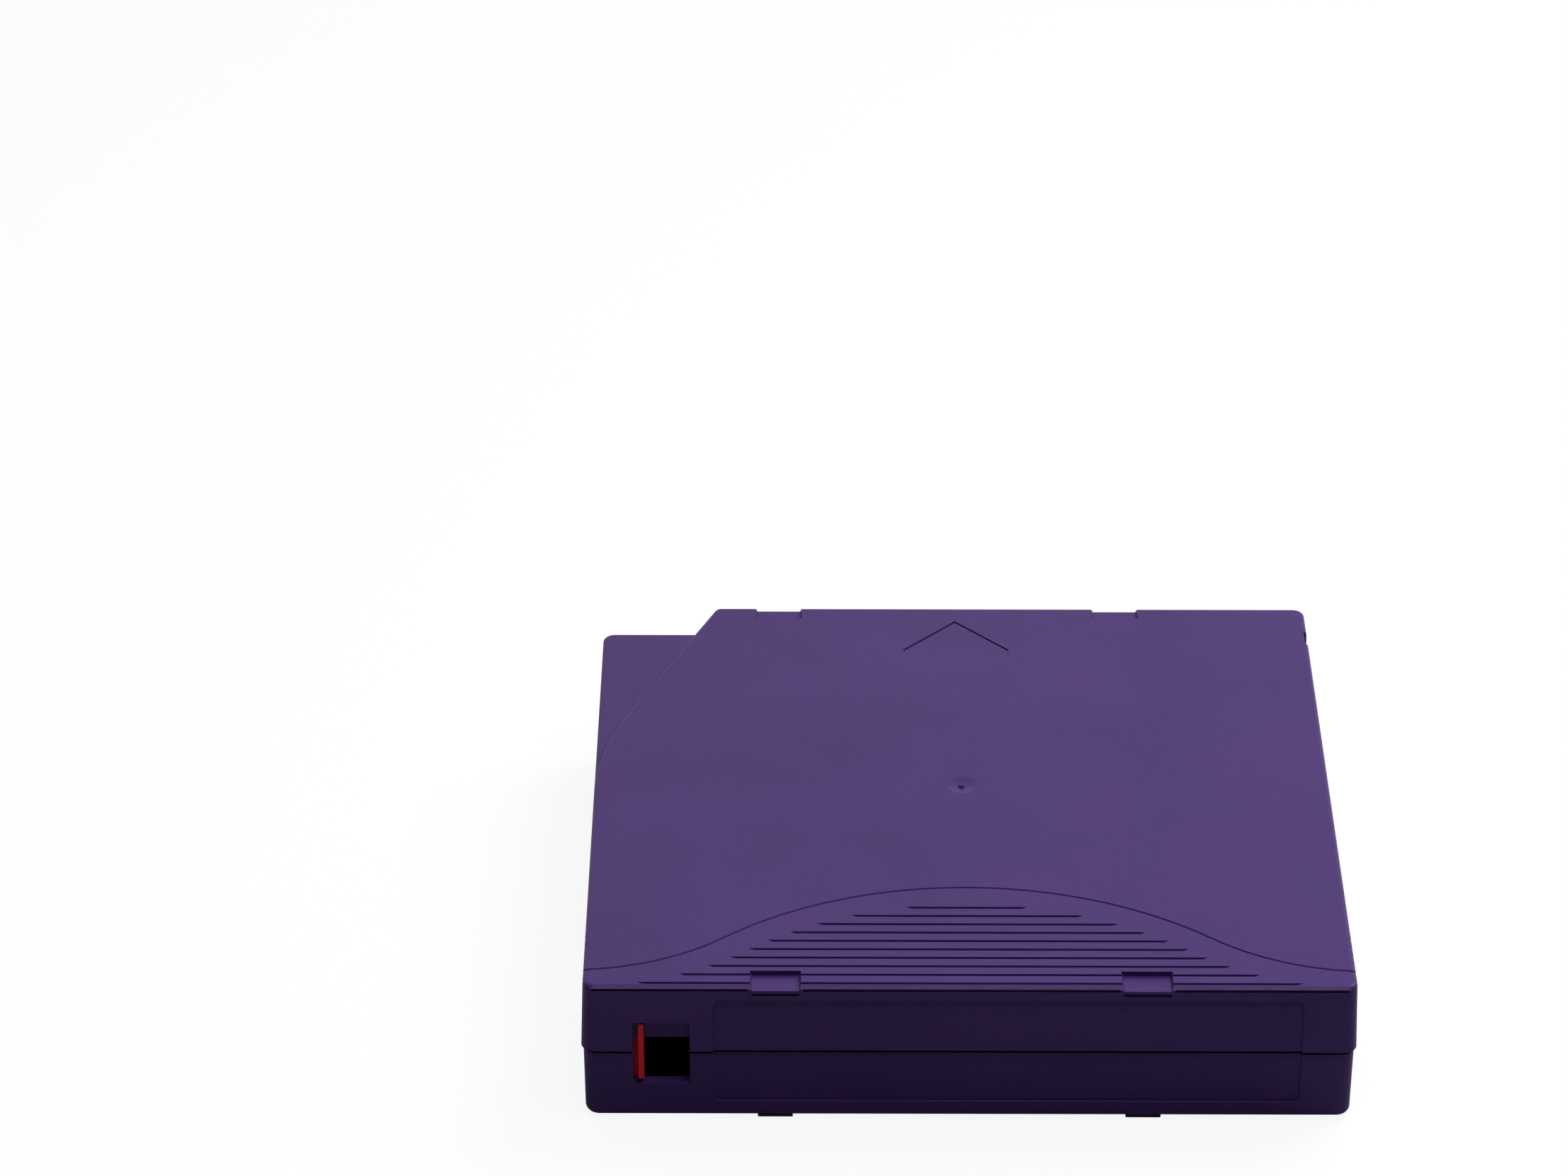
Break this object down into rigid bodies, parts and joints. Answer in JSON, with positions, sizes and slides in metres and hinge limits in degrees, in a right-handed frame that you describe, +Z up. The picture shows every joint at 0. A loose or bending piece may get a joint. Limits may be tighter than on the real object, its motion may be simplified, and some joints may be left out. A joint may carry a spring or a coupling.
{
  "type": "data tape cartridge",
  "caption": "Flat square cartridge holding a reel of half inch data tape, with a sliding tape door, a sprung reel brake and a red write protect slide.",
  "frame": {"origin": "on the reel's axis at the centre of the case, in the plane of the feet", "axes": "+X to the right seen from the label face, +Y the way the cartridge is pushed in, +Z up"},
  "size_m": [0.1054, 0.102, 0.022],
  "materials": {
    "purple_shell": "satin, finely textured",
    "screw_steel": "zinc plated",
    "dark_door": "satin",
    "spring_steel": "drawn wire and strip",
    "red_plastic": "satin",
    "hub_plastic": "satin",
    "plate_steel": "stamped",
    "tape_film": "smooth film edges",
    "brake_plastic": "satin",
    "pad_plastic": "satin",
    "pin_steel": "turned",
    "clip_plastic": "satin",
    "board_laminate": "solder mask",
    "aerial_copper": "etched copper",
    "chip_black": "moulded"
  },
  "bodies": {
    "case": {"upper_shell": "purple_shell", "lower_shell": "purple_shell", "shell_screws": "screw_steel", "door_spring": "spring_steel", "brake_spring": "spring_steel", "leader_pin": "pin_steel", "leader_pin_clip": "clip_plastic", "tape_leader": "tape_film", "pin_spring_lower": "spring_steel", "pin_spring_upper": "spring_steel", "memory_board": "board_laminate", "memory_coil": "aerial_copper", "memory_chip": "chip_black"},
    "door": {"tape_door": "dark_door"},
    "switch": {"write_protect_switch": "red_plastic"},
    "reel": {"reel_hub": "hub_plastic", "upper_flange": "hub_plastic", "hub_drive_plate": "plate_steel", "magnetic_tape": "tape_film"},
    "brake": {"reel_brake": "brake_plastic"},
    "release": {"release_pad": "pad_plastic"}
  },
  "joints": [
    {"name": "door_slide", "type": "slide", "parent": "case", "child": "door", "axis": [0, -1, 0], "range_m": [0, 0.024], "stiffness_N_per_m": 20, "springref_m": -0.02, "deforming": ["door_spring"]},
    {"name": "switch_slide", "type": "slide", "parent": "case", "child": "switch", "axis": [1, 0, 0], "range_m": [0, 0.0056]},
    {"name": "reel_spin", "type": "hinge", "parent": "case", "child": "reel", "pos_m": [0, 0, 0], "axis": [0, 0, 1], "continuous": true},
    {"name": "brake_lift", "type": "slide", "parent": "case", "child": "brake", "axis": [0, 0, 1], "range_m": [0, 0.0017], "stiffness_N_per_m": 400, "springref_m": -0.006, "deforming": ["brake_spring"]},
    {"name": "release_lift", "type": "slide", "parent": "reel", "child": "release", "axis": [0, 0, 1], "range_m": [0, 0.0017]}
  ],
  "couplings": [
    {"joint": "release_lift", "follows": "brake_lift", "ratio": 1}
  ]
}
